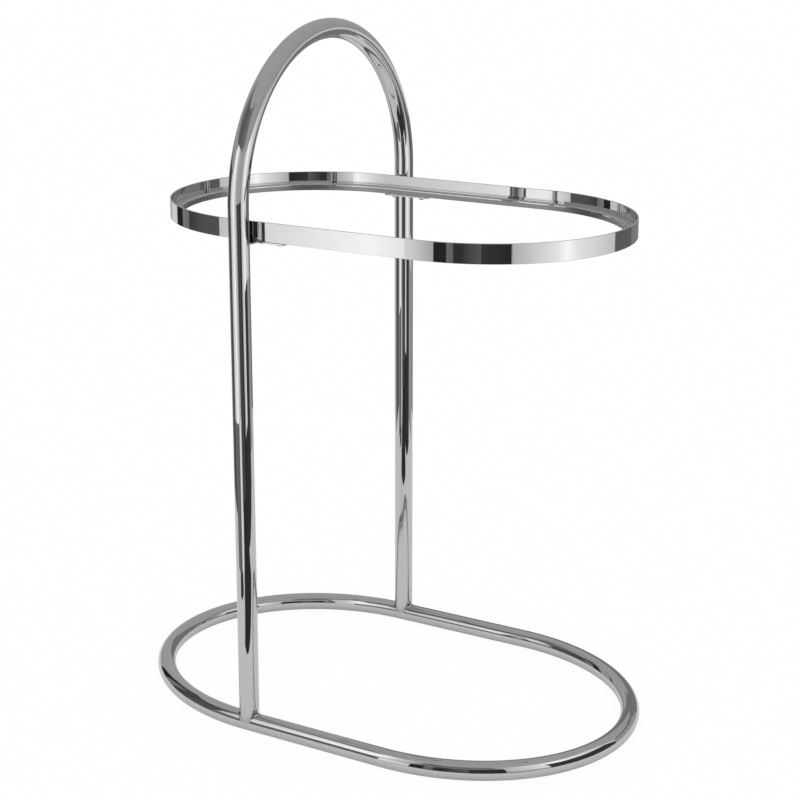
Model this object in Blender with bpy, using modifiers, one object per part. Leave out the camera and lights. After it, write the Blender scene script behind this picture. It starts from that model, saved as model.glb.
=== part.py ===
"""A valet stand of chromed steel: a ring of tube on the floor, a tall tube hoop welded to it,
and a racetrack ring that holds a tray, screwed to two brackets on the hoop. Metres, +Z up,
with the origin on the floor at the middle of the floor ring."""

import math

import bmesh
import bpy
import numpy as np

# Floor ring: a racetrack with elliptic ends, in the XY plane
BASE_TUBE_RADIUS = 0.012
BASE_HALF_WIDTH = 0.200
BASE_HALF_STRAIGHT = 0.1005
BASE_END_REACH = 0.2305
VENT_RADIUS = 0.003

# Hoop: two uprights and a half circle, standing across the floor ring
HOOP_TUBE_RADIUS = 0.0127
HOOP_X = -0.0945
UPRIGHT_TOP = 0.675
FOOT_LAP = 0.004

# Tray ring: a flat band with a ledge inside it
TRAY_TOP = 0.661
TRAY_X = 0.0098
TRAY_HALF_STRAIGHT = 0.121
TRAY_END_REACH = 0.1895
TRAY_SIDE_GAP = 0.0043
BAND_HEIGHT = 0.024
BAND_THICKNESS = 0.002
LEDGE_HEIGHT = 0.0095
LEDGE_WIDTH = 0.0117

# Brackets under the tray ring
PLATE_THICKNESS = 0.002
LEG_WIDTH = 0.0125
ARM_HALF_WIDTH = 0.014
ARM_WRAP = 0.006
LEG_REACH = 0.0525

# Screws, up through each bracket into the ledge
SCREW_RADIUS = 0.002
SCREW_HEAD_RADIUS = 0.0037
SCREW_HEAD_HEIGHT = 0.0022
SOCKET_RADIUS = 0.00144
SOCKET_DEPTH = 0.0012
LEDGE_SKIN = 0.0025
SCREW_OFFSETS = (0.0, 0.042)

# Common
TUBE_WALL = 0.0015
WELD_LEG = 0.0025
GAP = 0.0003
END_STEPS = 24
ARCH_STEPS = 32
TUBE_SIDES = 16
SIDES = {"back": 1, "front": -1}

TRAY_BOTTOM = TRAY_TOP - BAND_HEIGHT
PLATE_TOP = TRAY_BOTTOM - GAP
PLATE_BOTTOM = PLATE_TOP - PLATE_THICKNESS
BASE_TOP = 2 * BASE_TUBE_RADIUS
LEDGE_INSET = BAND_THICKNESS + GAP


def clear_scene():
    for old in list(bpy.data.objects):
        bpy.data.objects.remove(old, do_unlink=True)


def new_collection(name):
    collection = bpy.data.collections.new(name)
    bpy.context.scene.collection.children.link(collection)
    return collection


def metal(name, colour, roughness):
    """A bare metal finish."""
    material = bpy.data.materials.new(name)
    material.use_nodes = True
    shader = material.node_tree.nodes["Principled BSDF"]
    shader.inputs["Base Color"].default_value = (*colour, 1)
    shader.inputs["Metallic"].default_value = 1
    shader.inputs["Roughness"].default_value = roughness
    material.diffuse_color = (*colour, 1)
    return material


def racetrack(half_straight, end_reach, half_width, inset=0, steps=END_STEPS):
    """Points round two straight sides joined by half ellipses, moved in along the outline's normal."""
    turn = np.linspace(-math.pi / 2, math.pi / 2, steps + 1)
    normal = np.column_stack([np.cos(turn) / end_reach, np.sin(turn) / half_width])
    normal /= np.linalg.norm(normal, axis=1, keepdims=True)
    end = np.column_stack([half_straight + end_reach * np.cos(turn), half_width * np.sin(turn)])
    end -= inset * normal
    return np.vstack([end, -end])


def base_half_width_at(x):
    """How far the floor ring's centreline lies from the X axis at x."""
    past_straight = max(abs(x) - BASE_HALF_STRAIGHT, 0)
    return BASE_HALF_WIDTH * math.sqrt(1 - (past_straight / BASE_END_REACH) ** 2)


UPRIGHT_Y = base_half_width_at(HOOP_X)
TRAY_HALF_WIDTH = UPRIGHT_Y - HOOP_TUBE_RADIUS - TRAY_SIDE_GAP
LEDGE_INNER_Y = TRAY_HALF_WIDTH - LEDGE_INSET - LEDGE_WIDTH
SCREW_Y = LEDGE_INNER_Y + LEDGE_WIDTH / 2


def mesh_object(name, mesh, collection):
    made = bpy.data.objects.new(name, mesh)
    collection.objects.link(made)
    return made


def meshed(curve_object, collection):
    """Replaces a curve object with a mesh of the same shape, its caps welded on."""
    bpy.context.view_layer.update()
    graph = bpy.context.evaluated_depsgraph_get()
    mesh = bpy.data.meshes.new_from_object(curve_object.evaluated_get(graph))
    shape = bmesh.new()
    shape.from_mesh(mesh)
    bmesh.ops.remove_doubles(shape, verts=shape.verts, dist=0.00001)
    bmesh.ops.recalc_face_normals(shape, faces=shape.faces)
    shape.to_mesh(mesh)
    shape.free()
    name, place = curve_object.name, curve_object.matrix_world.copy()
    bpy.data.objects.remove(curve_object)
    made = mesh_object(name, mesh, collection)
    made.matrix_world = place
    return made


def poly_curve(name, paths, cyclic, collection):
    """A curve object of straight runs through each path's points."""
    curve = bpy.data.curves.new(name, "CURVE")
    for path in paths:
        spline = curve.splines.new("POLY")
        spline.points.add(len(path) - 1)
        across = np.zeros((len(path), 4 - path.shape[1]))
        spline.points.foreach_set("co", np.hstack([path, across]).astype(np.float32).ravel())
        spline.use_cyclic_u = cyclic
    made = bpy.data.objects.new(name, curve)
    collection.objects.link(made)
    return made


def round_tube(name, path, radius, cyclic, collection):
    """The outer skin of a round tube along a path, open at its ends unless the path closes."""
    guide = poly_curve(name, [path], cyclic, collection)
    guide.data.dimensions = "3D"
    guide.data.bevel_depth = radius
    guide.data.bevel_resolution = (TUBE_SIDES - 4) // 2
    made = meshed(guide, collection)
    made.data.shade_smooth()
    return made


def flat_plate(name, outlines, bottom, height, collection):
    """An upright-walled plate over flat outlines, the second of which is a hole in the first."""
    guide = poly_curve(name, outlines, True, collection)
    guide.data.dimensions = "2D"
    guide.data.fill_mode = "BOTH"
    guide.data.extrude = height / 2
    guide.location.z = bottom + height / 2
    return meshed(guide, collection)


def cylinder(name, radius, centre, bottom, top, collection, segments=32):
    shape = bmesh.new()
    bmesh.ops.create_cone(
        shape, cap_ends=True, segments=segments, radius1=radius, radius2=radius, depth=top - bottom
    )
    mesh = bpy.data.meshes.new(name)
    shape.to_mesh(mesh)
    shape.free()
    made = mesh_object(name, mesh, collection)
    made.location = (*centre, (bottom + top) / 2)
    return made


def box(name, low, high, collection):
    shape = bmesh.new()
    bmesh.ops.create_cube(shape, size=1)
    bmesh.ops.scale(shape, vec=np.subtract(high, low), verts=shape.verts)
    mesh = bpy.data.meshes.new(name)
    shape.to_mesh(mesh)
    shape.free()
    made = mesh_object(name, mesh, collection)
    made.location = np.add(low, high) / 2
    return made


def turned(name, profile, centre, collection):
    """A turned piece, from a profile of (radius, height) that runs down its outer side."""
    mesh = bpy.data.meshes.new(name)
    points = [(radius, 0, height) for radius, height in profile]
    mesh.from_pydata(points, [(at, at + 1) for at in range(len(points) - 1)], [])
    made = mesh_object(name, mesh, collection)
    made.location = (*centre, 0)
    turn = made.modifiers.new("Turn", "SCREW")
    turn.steps = turn.render_steps = 20
    turn.use_merge_vertices = True
    turn.merge_threshold = 0.00001
    return made


def hollow(part, wall):
    thickness = part.modifiers.new("Wall", "SOLIDIFY")
    thickness.thickness = wall
    thickness.offset = -1
    thickness.use_even_offset = True


def boolean(part, operation, *cutters):
    for cutter in cutters:
        step = part.modifiers.new(cutter.name, "BOOLEAN")
        step.operation = operation
        step.object = cutter


def floor_ring_path():
    outline = racetrack(BASE_HALF_STRAIGHT, BASE_END_REACH, BASE_HALF_WIDTH)
    return np.column_stack([outline, np.full(len(outline), BASE_TUBE_RADIUS)])


def hoop_path():
    """Up one side, over the half circle and down the other, in the plane X = HOOP_X."""
    turn = np.linspace(0, math.pi, ARCH_STEPS + 1)
    y = UPRIGHT_Y * np.cos(turn)
    z = UPRIGHT_TOP + UPRIGHT_Y * np.sin(turn)
    foot = BASE_TUBE_RADIUS + FOOT_LAP
    y = np.concatenate([[UPRIGHT_Y], y, [-UPRIGHT_Y]])
    z = np.concatenate([[foot], z, [foot]])
    return np.column_stack([np.full(len(y), HOOP_X), y, z])


def tray_outline(inset):
    outline = racetrack(TRAY_HALF_STRAIGHT, TRAY_END_REACH, TRAY_HALF_WIDTH, inset)
    return outline + (TRAY_X, 0)


def make_floor_ring(parts, cutters):
    ring = round_tube("floor_ring", floor_ring_path(), BASE_TUBE_RADIUS, True, parts)
    hollow(ring, TUBE_WALL)
    for side, sign in SIDES.items():
        centre = (HOOP_X, sign * UPRIGHT_Y)
        reach = BASE_TOP + BASE_TUBE_RADIUS
        vent = cylinder(f"vent_{side}", VENT_RADIUS, centre, BASE_TUBE_RADIUS, reach, cutters, 16)
        boolean(ring, "DIFFERENCE", vent)


def make_hoop(parts, base_clearance):
    hoop = round_tube("hoop", hoop_path(), HOOP_TUBE_RADIUS, False, parts)
    hollow(hoop, TUBE_WALL)
    boolean(hoop, "DIFFERENCE", base_clearance)


def make_foot_weld(side, upright_clearance, base_clearance, base_reach, parts):
    """A fillet that follows the saddle where an upright meets the floor ring."""
    centre = (HOOP_X, SIDES[side] * UPRIGHT_Y)
    reach = HOOP_TUBE_RADIUS + WELD_LEG
    top = BASE_TOP + BASE_TUBE_RADIUS
    weld = cylinder(f"foot_weld_{side}", reach, centre, BASE_TUBE_RADIUS + GAP, top, parts)
    boolean(weld, "INTERSECT", base_reach)
    boolean(weld, "DIFFERENCE", upright_clearance, base_clearance)


def make_tray_ring(screw_holes, parts):
    band = [tray_outline(0), tray_outline(BAND_THICKNESS)]
    flat_plate("tray_band", band, TRAY_BOTTOM, BAND_HEIGHT, parts)
    ledge = [tray_outline(LEDGE_INSET), tray_outline(LEDGE_INSET + LEDGE_WIDTH)]
    boolean(
        flat_plate("tray_ledge", ledge, TRAY_BOTTOM, LEDGE_HEIGHT, parts), "DIFFERENCE", *screw_holes
    )


def make_bracket(side, upright_clearance, screw_holes, parts):
    """An L plate: its arm is coped to the upright, and its leg lies under the band and ledge."""
    left = HOOP_X - ARM_HALF_WIDTH
    right = HOOP_X + ARM_HALF_WIDTH
    far = HOOP_X + LEG_REACH
    start = UPRIGHT_Y - ARM_WRAP
    leg_inner = TRAY_HALF_WIDTH - LEG_WIDTH
    outline = np.array(
        [
            (left, start),
            (left, leg_inner),
            (far, leg_inner),
            (far, TRAY_HALF_WIDTH),
            (right, TRAY_HALF_WIDTH),
            (right, start),
        ]
    )
    outline[:, 1] *= SIDES[side]
    plate = flat_plate(f"bracket_{side}", [outline], PLATE_BOTTOM, PLATE_THICKNESS, parts)
    boolean(plate, "DIFFERENCE", upright_clearance, *screw_holes)


def make_bracket_weld(side, upright_clearance, parts, cutters):
    """A fillet under the arm, round the inner side of the upright."""
    sign = SIDES[side]
    near = sign * (UPRIGHT_Y - ARM_WRAP)
    far = sign * (UPRIGHT_Y - HOOP_TUBE_RADIUS - 2 * WELD_LEG)
    low = (HOOP_X - ARM_HALF_WIDTH, min(near, far), PLATE_BOTTOM - 2 * WELD_LEG)
    high = (HOOP_X + ARM_HALF_WIDTH, max(near, far), PLATE_BOTTOM)
    inner_side = box(f"arm_side_{side}", low, high, cutters)
    reach = HOOP_TUBE_RADIUS + WELD_LEG
    centre = (HOOP_X, sign * UPRIGHT_Y)
    top = PLATE_BOTTOM - GAP
    weld = cylinder(f"bracket_weld_{side}", reach, centre, PLATE_BOTTOM - WELD_LEG, top, parts)
    boolean(weld, "INTERSECT", inner_side)
    boolean(weld, "DIFFERENCE", upright_clearance)


def make_screw(name, centre, parts, cutters):
    """A button head screw under the plate, its shank up in the ledge, with a six-sided socket."""
    head_top = PLATE_BOTTOM - GAP
    head_bottom = head_top - SCREW_HEAD_HEIGHT
    tip = TRAY_BOTTOM + LEDGE_HEIGHT - LEDGE_SKIN - GAP
    face_radius = SCREW_HEAD_RADIUS - SCREW_HEAD_HEIGHT / 2
    profile = [
        (0, tip),
        (SCREW_RADIUS, tip),
        (SCREW_RADIUS, head_top),
        (SCREW_HEAD_RADIUS, head_top),
        (SCREW_HEAD_RADIUS, head_top - SCREW_HEAD_HEIGHT / 3),
        (face_radius, head_bottom),
        (0, head_bottom),
    ]
    screw = turned(name, profile, centre, parts)
    socket_top = head_bottom + SOCKET_DEPTH
    socket = cylinder(
        f"{name}_socket", SOCKET_RADIUS, centre, head_bottom - SOCKET_DEPTH, socket_top, cutters, 6
    )
    boolean(screw, "DIFFERENCE", socket)


def finish(parts, cutters):
    """Gives each part its finish and its parent, and hides the cutters."""
    chrome = metal("chrome_plate", (0.78, 0.79, 0.80), 0.04)
    zinc = metal("bright_zinc", (0.62, 0.64, 0.66), 0.22)
    stand = bpy.data.objects.new("stand_origin", None)
    parts.objects.link(stand)
    for part in parts.objects:
        if part.type == "MESH":
            part.data.materials.clear()
            part.data.materials.append(zinc if "screw" in part.name else chrome)
            part.parent = stand
    for cutter in cutters.objects:
        cutter.hide_render = True
        cutter.display_type = "WIRE"


def make_stand():
    clear_scene()
    parts = new_collection("valet_stand")
    cutters = new_collection("cutters")
    base_path = floor_ring_path()
    widest = max(BASE_TUBE_RADIUS, HOOP_TUBE_RADIUS)
    clearance = BASE_TUBE_RADIUS + GAP
    base_clearance = round_tube("floor_ring_clearance", base_path, clearance, True, cutters)
    base_reach = round_tube("foot_weld_reach", base_path, widest + WELD_LEG, True, cutters)
    make_floor_ring(parts, cutters)
    make_hoop(parts, base_clearance)
    all_holes = []
    hole_top = TRAY_BOTTOM + LEDGE_HEIGHT - LEDGE_SKIN
    for side, sign in SIDES.items():
        upright = cylinder(
            f"upright_clearance_{side}",
            HOOP_TUBE_RADIUS + GAP,
            (HOOP_X, sign * UPRIGHT_Y),
            0,
            UPRIGHT_TOP,
            cutters,
        )
        holes = []
        for count, offset in enumerate(SCREW_OFFSETS, 1):
            centre = (HOOP_X + offset, sign * SCREW_Y)
            name = f"bracket_screw_{side}_{count}"
            make_screw(name, centre, parts, cutters)
            low = PLATE_BOTTOM - GAP
            holes.append(
                cylinder(f"{name}_hole", SCREW_RADIUS + GAP, centre, low, hole_top, cutters, 20)
            )
        make_foot_weld(side, upright, base_clearance, base_reach, parts)
        make_bracket(side, upright, holes, parts)
        make_bracket_weld(side, upright, parts, cutters)
        all_holes += holes
    make_tray_ring(all_holes, parts)
    finish(parts, cutters)


make_stand()
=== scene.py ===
import math

import bmesh
import bpy
import numpy as np
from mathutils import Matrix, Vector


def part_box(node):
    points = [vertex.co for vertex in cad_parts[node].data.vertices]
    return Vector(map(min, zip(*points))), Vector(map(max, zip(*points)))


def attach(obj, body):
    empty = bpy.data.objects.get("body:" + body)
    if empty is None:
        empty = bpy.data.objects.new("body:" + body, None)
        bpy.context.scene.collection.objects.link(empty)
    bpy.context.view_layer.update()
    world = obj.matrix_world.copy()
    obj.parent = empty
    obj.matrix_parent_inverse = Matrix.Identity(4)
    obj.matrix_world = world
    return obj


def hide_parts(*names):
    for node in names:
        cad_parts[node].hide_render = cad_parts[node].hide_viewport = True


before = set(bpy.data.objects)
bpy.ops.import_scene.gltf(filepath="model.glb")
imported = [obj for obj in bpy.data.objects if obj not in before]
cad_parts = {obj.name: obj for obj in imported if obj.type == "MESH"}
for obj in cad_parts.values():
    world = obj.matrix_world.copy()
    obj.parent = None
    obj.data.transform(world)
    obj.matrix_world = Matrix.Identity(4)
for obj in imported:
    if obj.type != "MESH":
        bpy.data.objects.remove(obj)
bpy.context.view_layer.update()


# ------------------------------------------------------------------ floor ring
# One length of round steel tube bent to an oval, its ends butt-welded and ground flush,
# then polished and chrome plated. It lies on the floor and carries everything else.

ring_low, ring_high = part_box("floor_ring")
ring_tube_radius = (ring_high.z - ring_low.z) / 2
ring_half_width = ring_high.y - ring_tube_radius
ring_half_straight = 0.1005
ring_end_reach = ring_high.x - ring_tube_radius - ring_half_straight


def oval(half_straight, end_reach, half_width, centre_x=0.0, end_steps=160, side_steps=40):
    """Points and outward normals round an oval. On an end, at angle a, x = half_straight +
    end_reach cos a and y = half_width sin a, with the normal along (cos a / end_reach,
    sin a / half_width). The sides are straight, and the second half is the first turned round."""
    a = np.linspace(-math.pi / 2, math.pi / 2, end_steps + 1)
    end = np.column_stack([half_straight + end_reach * np.cos(a), half_width * np.sin(a)])
    end_out = np.column_stack([np.cos(a) / end_reach, np.sin(a) / half_width])
    end_out /= np.linalg.norm(end_out, axis=1, keepdims=True)
    side_x = np.linspace(half_straight, -half_straight, side_steps + 1)[1:-1]
    side = np.column_stack([side_x, np.full(len(side_x), half_width)])
    side_out = np.tile([0.0, 1.0], (len(side_x), 1))
    half, half_out = np.vstack([end, side]), np.vstack([end_out, side_out])
    points = np.vstack([half, -half]) + (centre_x, 0)
    return points, np.vstack([half_out, -half_out])


def circle(radius, steps=64):
    """Points of a round section, as (out, up): at angle a, r cos a and r sin a."""
    a = np.linspace(0, 2 * math.pi, steps, endpoint=False)
    return radius * np.column_stack([np.cos(a), np.sin(a)])


def carried(path, out, up, section):
    """A grid of points: the section's (out, up) carried along the path as path + a out + b up."""
    a, b = section[None, :, 0, None], section[None, :, 1, None]
    return path[:, None] + a * out[:, None] + b * up[:, None]


def grid_mesh(name, grid, closed):
    """A mesh on a grid of (along, round) points. Round always closes. Along closes as well if
    closed is true, and otherwise each end gets one face."""
    along, around = grid.shape[:2]
    index = np.arange(along * around).reshape(along, around)
    here = index if closed else index[:-1]
    ahead = np.roll(index, -1, axis=0) if closed else index[1:]
    quads = np.stack([here, np.roll(here, -1, 1), np.roll(ahead, -1, 1), ahead], -1)
    faces = quads.reshape(-1, 4)[:, ::-1].tolist()
    if not closed:
        faces += [index[0].tolist(), index[-1, ::-1].tolist()]
    mesh = bpy.data.meshes.new(name)
    mesh.from_pydata(grid.reshape(-1, 3), [], faces)
    mesh.validate()
    mesh.shade_smooth()
    return mesh


def piece(name, mesh, material):
    """A named object with its one material, in the scene."""
    made = bpy.data.objects.new(name, mesh)
    bpy.context.scene.collection.objects.link(made)
    mesh.materials.append(material)
    return made


def plating_group():
    """Polished plate: a slow ripple in the metal under it, and faint clouds of haze where it was
    buffed, which roughen it a little and shift its brightness by up to a fiftieth."""
    cloud_scale = 90.0
    mirror_roughness = 0.012
    group = bpy.data.node_groups.new("polished_plate", "ShaderNodeTree")
    put = group.interface.new_socket
    put("Plate", in_out="INPUT", socket_type="NodeSocketColor")
    put("Ripple Size", in_out="INPUT", socket_type="NodeSocketFloat")
    put("Ripple Depth", in_out="INPUT", socket_type="NodeSocketFloat")
    put("Haze", in_out="INPUT", socket_type="NodeSocketFloat")
    put("Colour", in_out="OUTPUT", socket_type="NodeSocketColor")
    put("Roughness", in_out="OUTPUT", socket_type="NodeSocketFloat")
    put("Normal", in_out="OUTPUT", socket_type="NodeSocketVector")
    nodes, links = group.nodes, group.links
    given = nodes.new("NodeGroupInput")
    out = nodes.new("NodeGroupOutput")
    place = nodes.new("ShaderNodeTexCoord")
    ripple = nodes.new("ShaderNodeTexNoise")
    ripple.inputs["Detail"].default_value = 1.0
    links.new(place.outputs["Object"], ripple.inputs["Vector"])
    links.new(given.outputs["Ripple Size"], ripple.inputs["Scale"])
    bump = nodes.new("ShaderNodeBump")
    bump.inputs["Strength"].default_value = 1.0
    links.new(given.outputs["Ripple Depth"], bump.inputs["Distance"])
    links.new(ripple.outputs["Fac"], bump.inputs["Height"])
    links.new(bump.outputs["Normal"], out.inputs["Normal"])
    cloud = nodes.new("ShaderNodeTexNoise")
    cloud.inputs["Scale"].default_value = cloud_scale
    cloud.inputs["Detail"].default_value = 4.0
    links.new(place.outputs["Object"], cloud.inputs["Vector"])
    rough = nodes.new("ShaderNodeMath")
    rough.operation = "MULTIPLY_ADD"
    rough.inputs[2].default_value = mirror_roughness
    links.new(cloud.outputs["Fac"], rough.inputs[0])
    links.new(given.outputs["Haze"], rough.inputs[1])
    links.new(rough.outputs[0], out.inputs["Roughness"])
    shaded = nodes.new("ShaderNodeHueSaturation")
    shade = nodes.new("ShaderNodeMapRange")
    shade.inputs["From Min"].default_value = 0.3
    shade.inputs["From Max"].default_value = 0.7
    shade.inputs["To Min"].default_value = 1.02
    shade.inputs["To Max"].default_value = 0.98
    links.new(cloud.outputs["Fac"], shade.inputs["Value"])
    links.new(shade.outputs["Result"], shaded.inputs["Value"])
    links.new(given.outputs["Plate"], shaded.inputs["Color"])
    links.new(shaded.outputs["Color"], out.inputs["Colour"])
    return group


def chrome(name, colour, ripple_size, ripple_depth, haze):
    """Chrome plate over polished steel. The ripple's size is in waves to the metre and its depth
    in metres; the haze is how much roughness the clouds add."""
    material = bpy.data.materials.new(name)
    material.use_nodes = True
    nodes, links = material.node_tree.nodes, material.node_tree.links
    shader = nodes["Principled BSDF"]
    shader.inputs["Metallic"].default_value = 1.0
    plate = nodes.new("ShaderNodeGroup")
    plate.node_tree = polished_plate
    plate.inputs["Plate"].default_value = (*colour, 1)
    plate.inputs["Ripple Size"].default_value = ripple_size
    plate.inputs["Ripple Depth"].default_value = ripple_depth
    plate.inputs["Haze"].default_value = haze
    links.new(plate.outputs["Colour"], shader.inputs["Base Color"])
    links.new(plate.outputs["Roughness"], shader.inputs["Roughness"])
    links.new(plate.outputs["Normal"], shader.inputs["Normal"])
    return material


polished_plate = plating_group()
up = np.array([0.0, 0.0, 1.0])

ring_points, ring_out = oval(ring_half_straight, ring_end_reach, ring_half_width)
ring_path = np.column_stack([ring_points, np.full(len(ring_points), ring_tube_radius)])
ring_side = np.column_stack([ring_out, np.zeros(len(ring_out))])
ring_up = np.tile(up, (len(ring_path), 1))
ring_grid = carried(ring_path, ring_side, ring_up, circle(ring_tube_radius))
tube_chrome = chrome("tube_chrome", (0.56, 0.56, 0.562), 25.0, 0.00002, 0.03)
floor_ring = piece("floor_ring_tube", grid_mesh("floor_ring_tube", ring_grid, True), tube_chrome)
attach(floor_ring, "root")
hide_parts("floor_ring")


# ------------------------------------------------------------------------ hoop
# One longer length of a slightly thicker tube, bent over to a half circle. Both ends are cut
# to a saddle that sits on the floor ring's tube, over its two long sides.

hoop_low, hoop_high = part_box("hoop")
hoop_tube_radius = (hoop_high.x - hoop_low.x) / 2
hoop_x = (hoop_high.x + hoop_low.x) / 2
upright_y = hoop_high.y - hoop_tube_radius
upright_top = hoop_high.z - hoop_tube_radius - upright_y
saddle_floor = 0.0025


def saddle_height(across):
    """How high the floor ring's tube is at a distance across it: r + sqrt(r^2 - across^2),
    which past the tube's side stays a little above its middle."""
    over = np.clip(ring_tube_radius**2 - across**2, saddle_floor**2, None)
    return ring_tube_radius + np.sqrt(over)


def hoop_surface(straight_steps=60, arch_steps=240, around=64):
    """The hoop's skin. Round the tube, angle b gives r cos b out from the middle and r sin b
    along X. Up an upright, the height runs evenly from the saddle to where the arch starts;
    over the arch, the section turns with angle a about the arch's centre."""
    b = np.linspace(0, 2 * math.pi, around, endpoint=False)
    out, along_x = hoop_tube_radius * np.cos(b), hoop_tube_radius * np.sin(b)
    rise = np.linspace(0, 1, straight_steps + 1)[:-1, None]
    z = saddle_height(out) * (1 - rise) + upright_top * rise
    upright = np.stack(np.broadcast_arrays(hoop_x + along_x, upright_y + out, z), -1)
    a = np.linspace(0, math.pi, arch_steps + 1)[:, None]
    reach = upright_y + out
    over = [hoop_x + along_x, reach * np.cos(a), upright_top + reach * np.sin(a)]
    arch = np.stack(np.broadcast_arrays(*over), -1)
    other = (upright * (1, -1, 1))[::-1]
    return np.concatenate([upright, arch, other])


hoop = piece("hoop_tube", grid_mesh("hoop_tube", hoop_surface(), False), tube_chrome)
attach(hoop, "root")
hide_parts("hoop")


# ------------------------------------------------------------------ foot welds
# A small bead of weld round each foot, dressed to a hollow fillet before plating, so that
# the upright seems to run into the floor ring.

weld_chrome = chrome("weld_chrome", (0.55, 0.55, 0.552), 220.0, 0.0003, 0.06)
weld_lap = 0.00015
buried_share = 0.88
buried_drop = 0.0015


def foot_weld(sign, leg=0.0028, around=96, across=10):
    """A fillet round one foot. At angle b round the upright it bends, as a quadratic curve,
    from the upright's wall a leg above the saddle, by way of the saddle, to the floor ring's
    skin a leg further out. A row buried in the metal closes it, and its two feet lap a little
    into the tubes so that no gap shows."""
    b = np.linspace(0, 2 * math.pi, around, endpoint=False)
    x, y = np.cos(b), np.sin(b)
    wall = hoop_tube_radius - weld_lap
    saddle_z = saddle_height(wall * y)
    top = np.stack([wall * x, wall * y, saddle_z + leg], -1)
    corner = np.stack([wall * x, wall * y, saddle_z], -1)
    lean = np.arcsin(np.clip(wall * y / ring_tube_radius, -1, 1)) + leg / ring_tube_radius * y
    skin = ring_tube_radius - weld_lap
    low = [(wall + leg) * x, skin * np.sin(lean), ring_tube_radius + skin * np.cos(lean)]
    foot = np.stack(low, -1)
    t = np.linspace(0, 1, across)[None, :, None]
    bead = (1 - t) ** 2 * top[:, None] + 2 * t * (1 - t) * corner[:, None] + t**2 * foot[:, None]
    inner = corner * (buried_share, buried_share, 1) - (0, 0, buried_drop)
    grid = np.concatenate([bead, inner[:, None]], axis=1)
    grid = grid * (1, sign, 1) + (hoop_x, sign * upright_y, 0)
    return grid if sign > 0 else grid[::-1]


for side, sign in (("back", 1), ("front", -1)):
    mesh = grid_mesh(f"foot_bead_{side}", foot_weld(sign), True)
    bead = piece(f"foot_bead_{side}", mesh, weld_chrome)
    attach(bead, "root")
    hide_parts(f"foot_weld_{side}")


# ------------------------------------------------------------------- tray band
# A strip of flat steel rolled to an oval, its edges eased and its faces polished like
# mirrors. It is the rim that keeps a tray from sliding off.

band_low, band_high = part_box("tray_band")
tray_x = (band_low.x + band_high.x) / 2
tray_half_width = band_high.y
tray_half_straight = 0.121
tray_end_reach = band_high.x - tray_x - tray_half_straight
band_thickness = 0.002
band_eased = 0.0004


def bar_section(out_low, out_high, up_low, up_high, eased, corner_steps=5, hold=0.00012):
    """A bar's section with quarter-round corners. Each corner's arc has one more point on the
    flat beside either end, which holds the flat's shading flat."""
    a = np.linspace(0, math.pi / 2, corner_steps)
    arc = eased * np.column_stack([np.cos(a), np.sin(a)])
    corner = np.vstack([[eased, -hold], arc, [-hold, eased]])
    turned = [corner, corner[:, ::-1] * (-1, 1), -corner, corner[:, ::-1] * (1, -1)]
    centres = [
        (out_high - eased, up_high - eased),
        (out_low + eased, up_high - eased),
        (out_low + eased, up_low + eased),
        (out_high - eased, up_low + eased),
    ]
    return np.vstack([part + centre for part, centre in zip(turned, centres)])


def tray_rail(name, section):
    """A bar whose section is carried round the tray's oval, measured in from its outside."""
    points, out = oval(tray_half_straight, tray_end_reach, tray_half_width, tray_x)
    path = np.column_stack([points, np.zeros(len(points))])
    side = np.column_stack([out, np.zeros(len(out))])
    return grid_mesh(name, carried(path, side, np.tile(up, (len(path), 1)), section), True)


band_chrome = chrome("band_chrome", (0.56, 0.56, 0.562), 14.0, 0.00003, 0.02)
band_section = bar_section(-band_thickness, 0, band_low.z, band_high.z, band_eased)
band = piece("tray_rim_band", tray_rail("tray_rim_band", band_section), band_chrome)
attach(band, "root")
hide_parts("tray_band")


# ------------------------------------------------------------------ tray ledge
# A bar welded inside the band, flush with its lower edge. Its flat top is the shelf that a
# tray or a sheet of glass lies on, and its upper inner edge is well rounded.

ledge_low, ledge_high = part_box("tray_ledge")
ledge_inset = band_high.y - ledge_high.y
ledge_width = 0.0117
ledge_round = 0.0026
ledge_eased = 0.0006


def ledge_section(steps=14, hold=0.00012):
    """The bar's section: a quarter round of the large radius at its upper inner corner, and
    small ones at the other three, each with a held point on the flat at either end."""
    inner, outer = -ledge_inset - ledge_width, -ledge_inset
    low, high = ledge_low.z, ledge_high.z
    radii = np.array([ledge_eased, ledge_round, ledge_eased, ledge_eased])
    corners = np.array([(outer, high), (inner, high), (inner, low), (outer, low)])
    inwards = np.array([(-1, -1), (1, -1), (1, 1), (-1, 1)])
    centres = corners + radii[:, None] * inwards
    start = np.radians([0, 90, 180, 270])[:, None]
    turn = start + np.linspace(0, math.pi / 2, steps)
    arcs = np.stack([np.cos(turn), np.sin(turn)], -1) * radii[:, None, None] + centres[:, None]
    before = np.column_stack([np.sin(start[:, 0]), -np.cos(start[:, 0])]) * hold
    after = np.column_stack([-np.cos(start[:, 0]), -np.sin(start[:, 0])]) * hold
    held = [arcs[:, :1] + before[:, None], arcs, arcs[:, -1:] + after[:, None]]
    return np.concatenate(held, axis=1).reshape(-1, 2)


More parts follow.
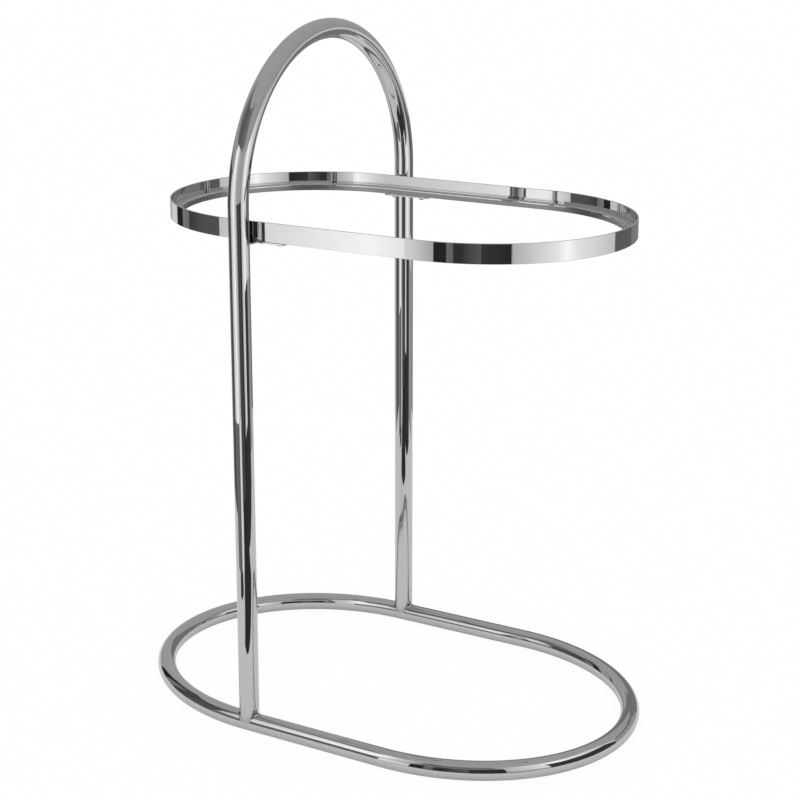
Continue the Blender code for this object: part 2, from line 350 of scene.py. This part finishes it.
def satin_and_painted_shade_below(material, height, fade, colour, roughness):
    """Leaves the plate satin below a height, where the polishing wheel doesn't reach, and paints
    its colour darker there as a painted shade.
    """
    nodes, links = material.node_tree.nodes, material.node_tree.links
    shader = nodes["Principled BSDF"]
    place = nodes.new("ShaderNodeTexCoord")
    part = nodes.new("ShaderNodeSeparateXYZ")
    links.new(place.outputs["Object"], part.inputs["Vector"])
    above_painted_shade = nodes.new("ShaderNodeMapRange")
    above_painted_shade.inputs["From Min"].default_value = height - fade
    above_painted_shade.inputs["From Max"].default_value = height + fade
    links.new(part.outputs["Z"], above_painted_shade.inputs["Value"])
    # Painted shade: below the height, the plate's colour is mixed to the darker colour given.
    painted_shade_tone = nodes.new("ShaderNodeMix")
    painted_shade_tone.data_type = "RGBA"
    painted_shade_tone.inputs["A"].default_value = (*colour, 1)
    links.new(above_painted_shade.outputs["Result"], painted_shade_tone.inputs["Factor"])
    links.new(shader.inputs["Base Color"].links[0].from_socket, painted_shade_tone.inputs["B"])
    links.new(painted_shade_tone.outputs["Result"], shader.inputs["Base Color"])
    rough = nodes.new("ShaderNodeMix")
    rough.inputs["A"].default_value = roughness
    links.new(above_painted_shade.outputs["Result"], rough.inputs["Factor"])
    links.new(shader.inputs["Roughness"].links[0].from_socket, rough.inputs["B"])
    links.new(rough.outputs["Result"], shader.inputs["Roughness"])


ledge_chrome = chrome("ledge_chrome", (0.55, 0.55, 0.552), 30.0, 0.00003, 0.05)
# Below this height the ledge is satin, which is its finish, and painted darker, which is a
# painted shade on its lower part.
satin_and_painted_shade_top = ledge_high.z - 0.0032
satin_and_painted_shade_below(ledge_chrome, satin_and_painted_shade_top, 0.0002, (0.27, 0.27, 0.272), 0.33)
ledge = piece("tray_shelf_bar", tray_rail("tray_shelf_bar", ledge_section()), ledge_chrome)
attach(ledge, "root")
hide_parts("tray_ledge")


# -------------------------------------------------------------------- brackets
# An L of steel plate under the tray ring at each upright, its edges eased and plated. Its arm
# is coped to fit round the upright, and its leg runs along under the band and the ledge.

plate_corner = 0.0022
plate_eased = 0.0003
land_corner = 0.0007
inner_corner = 0.0015
cope_radius = hoop_tube_radius + 0.0003
arm_wrap = 0.006
arm_half_width = 0.014
screw_offsets = (0.0, 0.042)
screw_y = tray_half_width - ledge_inset - ledge_width / 2
hole_radius = 0.0023
merge_within = 0.000005


def rounded(corners, radii, steps=8):
    """A closed outline whose square corners are quarter rounds. At a corner P between the
    directions d and e, with a radius r, the round is P - r d + r e + r (d sin t - e cos t),
    with t from 0 to a quarter turn."""
    before, after = np.roll(corners, 1, axis=0), np.roll(corners, -1, axis=0)
    d = (corners - before) / np.linalg.norm(corners - before, axis=1, keepdims=True)
    e = (after - corners) / np.linalg.norm(after - corners, axis=1, keepdims=True)
    t = np.linspace(0, math.pi / 2, steps)[None, :, None]
    r = np.array(radii)[:, None, None]
    turn = np.sin(t) * d[:, None] - np.cos(t) * e[:, None]
    return corners[:, None] + r * (e - d)[:, None] + r * turn


def bracket_outline(side):
    """The L's outline in plan, on the side of +Y: six rounded corners, then the cope, an arc
    about the upright's middle."""
    low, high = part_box(f"bracket_{side}")
    near = min(abs(low.y), abs(high.y))
    start = upright_y - arm_wrap
    left, right = hoop_x - arm_half_width, hoop_x + arm_half_width
    corners = np.array(
        [
            (left, start),
            (left, near),
            (high.x, near),
            (high.x, tray_half_width),
            (right, tray_half_width),
            (right, start),
        ]
    )
    plain = (land_corner, plate_corner, plate_corner, plate_corner, inner_corner, land_corner)
    ground = rounded(corners, plain)
    half_turn = math.acos(arm_wrap / cope_radius)
    c = np.linspace(half_turn, -half_turn, 33)
    arc = np.column_stack([hoop_x + cope_radius * np.sin(c), upright_y - cope_radius * np.cos(c)])
    return np.vstack([ground.reshape(-1, 2), arc])


def cut_plate(name, outlines, low_z, high_z, eased):
    """A plate cut to flat outlines, the first its edge and the others holes in it, with its
    edges eased. It is a filled curve, made a mesh, and then lifted to its height."""
    curve = bpy.data.curves.new(name, "CURVE")
    for outline in outlines:
        spline = curve.splines.new("POLY")
        spline.points.add(len(outline) - 1)
        across = np.tile([0.0, 1.0], (len(outline), 1))
        spline.points.foreach_set("co", np.hstack([outline, across]).ravel())
        spline.use_cyclic_u = True
    curve.dimensions = "2D"
    curve.fill_mode = "BOTH"
    curve.extrude = (high_z - low_z) / 2 - eased
    curve.bevel_depth = eased
    curve.bevel_resolution = 2
    curve.offset = -eased
    drawn = bpy.data.objects.new(name, curve)
    mesh = bpy.data.meshes.new_from_object(drawn)
    bpy.data.objects.remove(drawn)
    shape = bmesh.new()
    shape.from_mesh(mesh)
    bmesh.ops.remove_doubles(shape, verts=shape.verts, dist=merge_within)
    bmesh.ops.recalc_face_normals(shape, faces=shape.faces)
    bmesh.ops.translate(shape, verts=shape.verts, vec=(0, 0, (low_z + high_z) / 2))
    shape.to_mesh(mesh)
    shape.free()
    mesh.shade_smooth()
    mesh.set_sharp_from_angle(angle=math.radians(40))
    return mesh


plate_chrome = chrome("plate_chrome", (0.55, 0.55, 0.552), 60.0, 0.00004, 0.10)
for side, sign in (("back", 1), ("front", -1)):
    low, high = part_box(f"bracket_{side}")
    edge = bracket_outline(side) * (1, sign)
    holes = [circle(hole_radius, 32) + (hoop_x + at, sign * screw_y) for at in screw_offsets]
    plate_mesh = cut_plate(f"bracket_plate_{side}", [edge, *holes], low.z, high.z, plate_eased)
    plate = piece(f"bracket_plate_{side}", plate_mesh, plate_chrome)
    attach(plate, "root")
    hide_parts(f"bracket_{side}")


# --------------------------------------------------------------- bracket welds
# A short bead of weld under each arm, round the inner side of the upright, plated with the
# rest of the hoop.

bead_share = 0.96
end_thinning = 0.04
bead_depth = 0.001
bead_rise = 0.0004
roof_lap = 0.00005


def bracket_weld(side, sign, leg=0.0024, along=49, across=9):
    """A fillet under one arm. At angle b round the upright, from straight in, it bends as a
    quadratic curve from the upright's wall, a leg below the arm, by way of the corner, to the
    arm's underside a leg out. The leg narrows to its ends as sqrt(1 - u^6), and a last row
    inside the metal closes it."""
    low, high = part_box(f"bracket_{side}")
    reach = math.acos(arm_wrap / hoop_tube_radius)
    u = np.linspace(-1, 1, along)[:, None]
    b = bead_share * reach * u
    size = leg * np.sqrt(np.clip(1 - u**6, end_thinning, 1))
    wall, roof = hoop_tube_radius - weld_lap, low.z - roof_lap
    t = np.linspace(0, 1, across)[None, :]
    r = wall + size * t**2
    z = roof - size * (1 - t) ** 2
    r = np.hstack([r, np.full_like(u, wall - bead_depth)])
    z = np.hstack([z, np.full_like(u, roof + bead_rise)])
    y = upright_y - r * np.cos(b)
    grid = np.stack([hoop_x + r * np.sin(b), sign * y, z], -1)
    return grid if sign < 0 else grid[::-1]


for side, sign in (("back", 1), ("front", -1)):
    bead_mesh = grid_mesh(f"bracket_bead_{side}", bracket_weld(side, sign), False)
    bead = piece(f"bracket_bead_{side}", bead_mesh, weld_chrome)
    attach(bead, "root")
    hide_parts(f"bracket_weld_{side}")


# ---------------------------------------------------------------------- screws
# Four button head screws with hexagon sockets, bright zinc plated, driven up through the
# brackets into the ledge.

head_radius = 0.0037
head_height = 0.0022
shank_radius = 0.002
socket_radius = 0.00144
socket_depth = 0.0012
lip_share = 1.12
dome_share = 0.8
screw_edge = 0.0001
tip_chamfer = 0.0005


def screw_surface(centre, low_z, high_z, around=48, dome_steps=12):
    """A screw, head down, by rows from the socket's floor to the shank's tip. The socket's
    rows are hexagons: at angle b their radius is a / cos(b mod 60 deg - 30 deg), with a the
    distance to the middle of a flat. The dome is a quarter ellipse, and the rest is round."""
    b = np.linspace(0, 2 * math.pi, around, endpoint=False)
    flat = socket_radius * math.cos(math.pi / 6)
    hexagon = flat / np.cos(np.mod(b, math.pi / 3) - math.pi / 6)
    lip = lip_share * socket_radius
    t = np.linspace(0, math.pi / 2, dome_steps)
    dome_r = lip + (head_radius - lip) * np.sin(t)
    dome_z = low_z + dome_share * head_height * (1 - np.cos(t))
    under = low_z + head_height
    round_r = [*dome_r, head_radius, head_radius - screw_edge, shank_radius, shank_radius]
    round_z = [*dome_z, under - screw_edge, under, under, high_z - tip_chamfer]
    radii = [0.3 * hexagon, hexagon, hexagon, *round_r, shank_radius - tip_chamfer]
    floor_z = low_z + socket_depth
    heights = [floor_z, floor_z, low_z + screw_edge, *round_z, high_z]
    r = np.stack([np.broadcast_to(row, b.shape) for row in radii])
    z = np.broadcast_to(np.array(heights)[:, None], r.shape)
    return np.stack([centre[0] + r * np.cos(b), centre[1] + r * np.sin(b), z], -1)


zinc = chrome("bright_zinc", (0.52, 0.535, 0.55), 400.0, 0.00004, 0.32)
for side, sign in (("back", 1), ("front", -1)):
    for count, offset in enumerate(screw_offsets, 1):
        name = f"bracket_screw_{side}_{count}"
        low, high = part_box(name)
        surface = screw_surface((hoop_x + offset, sign * screw_y), low.z, high.z)
        screw_mesh = grid_mesh(f"button_screw_{side}_{count}", surface[::-1], False)
        screw_mesh.set_sharp_from_angle(angle=math.radians(35))
        screw = piece(f"button_screw_{side}_{count}", screw_mesh, zinc)
        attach(screw, "root")
        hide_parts(name)


# ------------------------------------------------------------ camera and studio
# A pale floor that runs back to a plain wall of light, and a room for the chrome to mirror: a
# light board in front, a window on the right, and dark doorways and mats between them. The
# room is made of cards that only the chrome sees.

look_at = np.array([0.0, 0.0228, 0.504])
azimuth = math.radians(29.609)
elevation = math.radians(14.315)
distance = 2.3184
camera_data = bpy.data.cameras.new("camera")
camera_data.lens = 80.77
camera_data.sensor_width = 36.0
camera_data.shift_y = -0.10
camera = bpy.data.objects.new("camera", camera_data)
level = math.cos(elevation)
towards = [math.sin(azimuth) * level, -math.cos(azimuth) * level, math.sin(elevation)]
camera.location = look_at + distance * np.array(towards)
camera.rotation_euler = (math.pi / 2 - elevation, 0, azimuth)
bpy.context.scene.collection.objects.link(camera)
bpy.context.scene.camera = camera
bpy.context.scene.view_settings.view_transform = "Standard"


def lit(name):
    """A plain light of its own, as bright as the card's own glow at each point."""
    material = bpy.data.materials.new(name)
    material.use_nodes = True
    nodes, links = material.node_tree.nodes, material.node_tree.links
    nodes.clear()
    glow = nodes.new("ShaderNodeAttribute")
    glow.attribute_name = "glow"
    light = nodes.new("ShaderNodeEmission")
    light.inputs["Color"].default_value = (1, 1, 1, 1)
    links.new(glow.outputs["Fac"], light.inputs["Strength"])
    out = nodes.new("ShaderNodeOutputMaterial")
    links.new(light.outputs["Emission"], out.inputs["Surface"])
    return material


card_light = lit("card_light")


def reflected_only(name, points, faces, glow):
    """A card of light or shade that only the chrome sees."""
    mesh = bpy.data.meshes.new(name)
    mesh.from_pydata(points, [], faces)
    mesh.materials.append(card_light)
    strength = mesh.attributes.new("glow", "FLOAT", "POINT")
    strength.data.foreach_set("value", np.asarray(glow, np.float32))
    card = bpy.data.objects.new(name, mesh)
    bpy.context.scene.collection.objects.link(card)
    card.visible_camera = False
    card.visible_diffuse = False
    card.visible_shadow = False


def curved_card(name, radius, turn, heights, glow, columns=33):
    """An upright card bent round the Z axis, between two angles in degrees, two heights and
    two brightnesses, one at each side: at angle a, x = radius sin a and y = -radius cos a, so
    that 0 is in front and 90 is on the right."""
    a = np.radians(np.linspace(*turn, columns))
    low_edge = np.full(columns, heights[0])
    foot = np.column_stack([radius * np.sin(a), -radius * np.cos(a), low_edge])
    points = np.vstack([foot, foot + (0, 0, heights[1] - heights[0])])
    at = np.arange(columns - 1)
    faces = np.stack([at, at + 1, at + columns + 1, at + columns], -1).tolist()
    reflected_only(name, points, faces, np.tile(np.linspace(*glow, columns), 2))


def floor_mat(name, turn, near, far, half_width, glow):
    """A flat card just above the floor, its near and far edges square to a line that leaves
    the Z axis at an angle in degrees."""
    a = math.radians(turn)
    ahead = np.array([math.sin(a), -math.cos(a), 0.0])
    across = np.array([math.cos(a), math.sin(a), 0.0]) * half_width
    lift = np.array([0, 0, 0.001])
    ends = [near * ahead - across, far * ahead - across, far * ahead + across]
    points = np.array([*ends, near * ahead + across]) + lift
    reflected_only(name, points, [(0, 1, 2, 3)], np.full(4, glow))


# On the left, a dark doorway with a grey frame, and a wall beyond it.
door_away = 1.0
door_top = 0.52
curved_card("left_far_wall", 1.2, (-150, -112), (0.0, 0.75), (0.52, 0.52))
curved_card("left_door", door_away, (-96, -86), (0.0, door_top), (0.03, 0.026))
curved_card("left_frame", door_away, (-86, -77), (0.0, door_top), (0.31, 0.24))
curved_card("left_dark", door_away, (-77, -62), (0.0, door_top), (0.07, 0.13))
curved_card("left_dark_front", door_away, (-62, -46), (0.0, door_top), (0.13, 0.14))
curved_card("left_high", door_away, (-100, -50), (door_top, 0.84), (0.10, 0.10))

# In front, a board of light, brightest right of its middle, with a pale foot and a shaded one.
board_away = 0.75
board_low = 0.25
board_top = 1.05
curved_card("board_left", board_away, (-46, -30), (board_low, 0.80), (0.90, 1.21))
curved_card("board_middle", board_away, (-30, -18), (board_low, board_top), (1.21, 1.60))
curved_card("board_right", board_away, (-18, -14.2), (board_low, board_top), (1.60, 1.35))
curved_card("board_edge", board_away, (-14.2, 3), (board_low, board_top), (1.09, 0.64))
curved_card("board_foot", 0.76, (-12, 4), (0.0, board_low), (1.20, 1.0))
curved_card("board_shade", 0.77, (-46, -12), (0.0, board_low), (0.25, 0.17))

# Right of the board, a dark gap with a grey post in it.
gap_away = 1.0
gap_top = 0.60
curved_card("front_gap", gap_away, (-2, 8), (0.0, gap_top), (0.03, 0.03))
curved_card("front_post", gap_away, (8, 12.5), (0.0, gap_top), (0.24, 0.20))
curved_card("front_dark_left", gap_away, (12.5, 19), (0.0, gap_top), (0.05, 0.05))
curved_card("front_dark_middle", gap_away, (19, 30), (0.0, gap_top), (0.07, 0.16))
curved_card("front_dark_right", gap_away, (30, 48), (0.0, gap_top), (0.06, 0.035))

# Far off behind them, a window and a grey wall.
far_away = 2.5
far_top = 1.8
curved_card("far_window", far_away, (-40, 4), (0.0, far_top), (1.345, 1.2))
curved_card("far_wall", far_away, (4, 58), (0.0, far_top), (0.62, 0.52))

# On the right, a window with a blind on its left and a pale wall on its right, and below the
# sill a low wall, dark in front and grey further back.
window_away = 0.95
sill = 0.33
window_top = 0.98
curved_card("right_blind", window_away, (49, 76), (0.1, 1.0), (0.74, 1.36))
curved_card("right_window_left", window_away, (76, 82), (sill, window_top), (1.36, 1.66))
curved_card("right_window_right", window_away, (82, 89), (sill, window_top), (1.66, 1.34))
curved_card("right_wall", window_away, (89, 122), (sill, window_top), (1.34, 0.88))
curved_card("right_low", 0.78, (70, 112), (0.0, 0.38), (0.057, 0.057))
curved_card("right_low_back", window_away, (104, 150), (0.0, sill), (0.468, 0.468))

# Behind the stand, a grey wall with a darker strip beside it.
wall_away = 1.2
curved_card("back_right", wall_away, (124, 152), (0.34, 0.56), (0.165, 0.165))
curved_card("back_grey", wall_away, (152, 210), (0.0, 0.65), (0.27, 0.25))

# Overhead in front, the dark edge of the ceiling.
ceiling_away = 2.6
ceiling_low = 1.95
ceiling_top = 4.2
curved_card("ceiling_left", ceiling_away, (-80, -30), (ceiling_low, ceiling_top), (0.28, 0.15))
curved_card("ceiling_right", ceiling_away, (-30, 42), (ceiling_low, ceiling_top), (0.15, 0.28))

# On the floor, three dark mats that lie clear of the floor ring.
floor_mat("front_mat", 27, 0.385, 1.3, 0.30, 0.04)
floor_mat("left_mat", -20, 0.66, 1.5, 0.14, 0.057)
floor_mat("right_mat", 72, 0.62, 1.5, 0.5, 0.047)

# The floor itself glows white to the camera and takes a soft shadow in the chrome. Outside it
# the camera sees white, and the chrome a plain grey room, a little lighter overhead.
floor_reach = 30.0
floor_corners = floor_reach * np.array([(-1, -1, 0), (1, -1, 0), (1, 1, 0), (-1, 1, 0)])
floor_mesh = bpy.data.meshes.new("studio_floor")
floor_mesh.from_pydata(floor_corners, [], [(0, 1, 2, 3)])
floor = bpy.data.objects.new("studio_floor", floor_mesh)
bpy.context.scene.collection.objects.link(floor)

floor_white = bpy.data.materials.new("floor_white")
floor_white.use_nodes = True
nodes, links = floor_white.node_tree.nodes, floor_white.node_tree.links
nodes.clear()
floor_out = nodes.new("ShaderNodeOutputMaterial")
glow = nodes.new("ShaderNodeEmission")
matt = nodes.new("ShaderNodeBsdfDiffuse")
matt.inputs["Color"].default_value = (0.88, 0.88, 0.88, 1)
path = nodes.new("ShaderNodeLightPath")
seen = nodes.new("ShaderNodeMapRange")
seen.inputs["To Min"].default_value = 0.9
seen.inputs["To Max"].default_value = 1.0
links.new(path.outputs["Is Camera Ray"], seen.inputs["Value"])
links.new(seen.outputs["Result"], glow.inputs["Strength"])
shadowed = nodes.new("ShaderNodeMapRange")
shadowed.inputs["To Min"].default_value = 0.75
shadowed.inputs["To Max"].default_value = 0.04
links.new(path.outputs["Is Camera Ray"], shadowed.inputs["Value"])
matt_part = nodes.new("ShaderNodeMixShader")
links.new(shadowed.outputs["Result"], matt_part.inputs["Fac"])
links.new(glow.outputs["Emission"], matt_part.inputs[1])
links.new(matt.outputs["BSDF"], matt_part.inputs[2])
links.new(matt_part.outputs["Shader"], floor_out.inputs["Surface"])
floor_mesh.materials.append(floor_white)

world = bpy.data.worlds.new("studio")
bpy.context.scene.world = world
world.use_nodes = True
nodes, links = world.node_tree.nodes, world.node_tree.links
sky = nodes["Background"]
direction = nodes.new("ShaderNodeTexCoord")
parts = nodes.new("ShaderNodeSeparateXYZ")
links.new(direction.outputs["Generated"], parts.inputs["Vector"])
rise = nodes.new("ShaderNodeMapRange")
rise.inputs["To Min"].default_value = 0.468
rise.inputs["To Max"].default_value = 0.545
links.new(parts.outputs["Z"], rise.inputs["Value"])
below = nodes.new("ShaderNodeMath")
below.operation = "LESS_THAN"
below.inputs[1].default_value = 0.0
links.new(parts.outputs["Z"], below.inputs[0])
walls = nodes.new("ShaderNodeMix")
links.new(below.outputs[0], walls.inputs["Factor"])
links.new(rise.outputs["Result"], walls.inputs["A"])
walls.inputs["B"].default_value = 0.9
room_path = nodes.new("ShaderNodeLightPath")
shown = nodes.new("ShaderNodeMix")
links.new(room_path.outputs["Is Glossy Ray"], shown.inputs["Factor"])
shown.inputs["A"].default_value = 1.0
links.new(walls.outputs["Result"], shown.inputs["B"])
links.new(shown.outputs["Result"], sky.inputs["Strength"])
sky.inputs["Color"].default_value = (1, 1, 1, 1)
